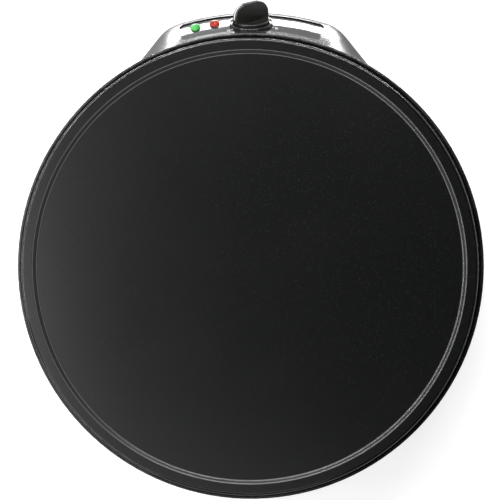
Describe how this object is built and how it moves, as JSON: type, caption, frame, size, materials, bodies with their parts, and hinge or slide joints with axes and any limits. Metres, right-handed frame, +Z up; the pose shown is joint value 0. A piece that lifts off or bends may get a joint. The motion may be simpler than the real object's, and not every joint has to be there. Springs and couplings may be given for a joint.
{
  "type": "electric crepe maker",
  "caption": "Round electric cooking plate with a low raised border, on a moulded base with rubber feet and a sloped control panel with a turning thermostat knob and two lamps.",
  "frame": {"origin": "on the floor below the middle of the whole outline; the plate's axis stands 12 mm behind it", "axes": "+Z up, front control panel towards -Y, user's right +X"},
  "size_m": [0.3314, 0.3561, 0.0779],
  "materials": {
    "bezel_plastic": "black, high gloss",
    "blue_insulation": "blue silicone insulation",
    "brass": "plain",
    "brown_insulation": "brown silicone insulation",
    "ceramic": "unglazed steatite",
    "cover_plastic": "black moulded, fine matt texture",
    "earth_insulation": "green and yellow insulation",
    "fascia_plastic": "dark grey, high gloss",
    "foot_rubber": "black rubber",
    "glass_sleeve": "braided glass sleeve",
    "green_plastic": "translucent green",
    "holder_plastic": "natural moulded",
    "housing_plastic": "black moulded, satin gloss",
    "inlet_rubber": "black rubber",
    "knob_plastic": "black, satin",
    "lamp_glass": "clear neon lamp",
    "nonstick_aluminium": "cast aluminium with a black non-stick coating",
    "red_plastic": "translucent red",
    "sheath_steel": "dull sheath of a tubular element",
    "shield_aluminium": "bright sheet",
    "spindle_steel": "turned",
    "zinc_steel": "zinc plated"
  },
  "bodies": {
    "base": {"actuator_pin": "ceramic", "arm_terminal": "brass", "bimetal_strip": "spindle_steel", "bottom_cover": "cover_plastic", "ceramic_washers": "ceramic", "control_fascia": "fascia_plastic", "cord_inlet_bush": "inlet_rubber", "cover_screws": "zinc_steel", "earth_lead": "earth_insulation", "earth_nut": "zinc_steel", "earth_screw": "zinc_steel", "earth_tag": "zinc_steel", "element_end_seals": "ceramic", "element_terminals": "zinc_steel", "fixed_contact_leaf": "brass", "foot_front_left": "foot_rubber", "foot_front_right": "foot_rubber", "foot_rear_left": "foot_rubber", "foot_rear_right": "foot_rubber", "fuse_clip": "zinc_steel", "fuse_lead": "glass_sleeve", "fuse_screw": "zinc_steel", "green_lamp": "lamp_glass", "green_lens": "green_plastic", "griddle_plate": "nonstick_aluminium", "heat_shield": "shield_aluminium", "heating_element": "sheath_steel", "holder_screws": "zinc_steel", "knob_bezel": "bezel_plastic", "lamp_holder": "holder_plastic", "lead_grommets": "inlet_rubber", "live_lead": "brown_insulation", "neutral_lead": "blue_insulation", "plate_screws": "zinc_steel", "plate_spacer_1": "zinc_steel", "plate_spacer_2": "zinc_steel", "plate_spacer_3": "zinc_steel", "plate_spacer_4": "zinc_steel", "red_lamp": "lamp_glass", "red_lens": "red_plastic", "stack_rivet": "brass", "switched_lead": "glass_sleeve", "terminal_block": "ceramic", "terminal_screws": "zinc_steel", "thermal_fuse": "ceramic", "thermostat_bracket": "shield_aluminium", "thermostat_bush": "brass", "thermostat_nut": "zinc_steel", "thermostat_screw": "zinc_steel", "upper_housing": "housing_plastic"},
    "knob": {"thermostat_knob": "knob_plastic", "thermostat_spindle": "spindle_steel", "knob_spring_clip": "zinc_steel", "spindle_clip_ring": "zinc_steel"},
    "contact_arm": {"contact_arm": "brass"}
  },
  "joints": [
    {"name": "knob_turn", "type": "hinge", "parent": "base", "child": "knob", "pos_m": [0, -0.16264, 0.03831], "axis": [0, 0.9135, -0.4067], "range_deg": [0, 240]},
    {"name": "contact_arm_flex", "type": "hinge", "parent": "base", "child": "contact_arm", "pos_m": [0, -0.13009, 0.04024], "axis": [1, 0, 0], "range_deg": [0, 2.4]}
  ],
  "couplings": [
    {"joint": "contact_arm_flex", "follows": "knob_turn", "ratio": 0.01}
  ]
}
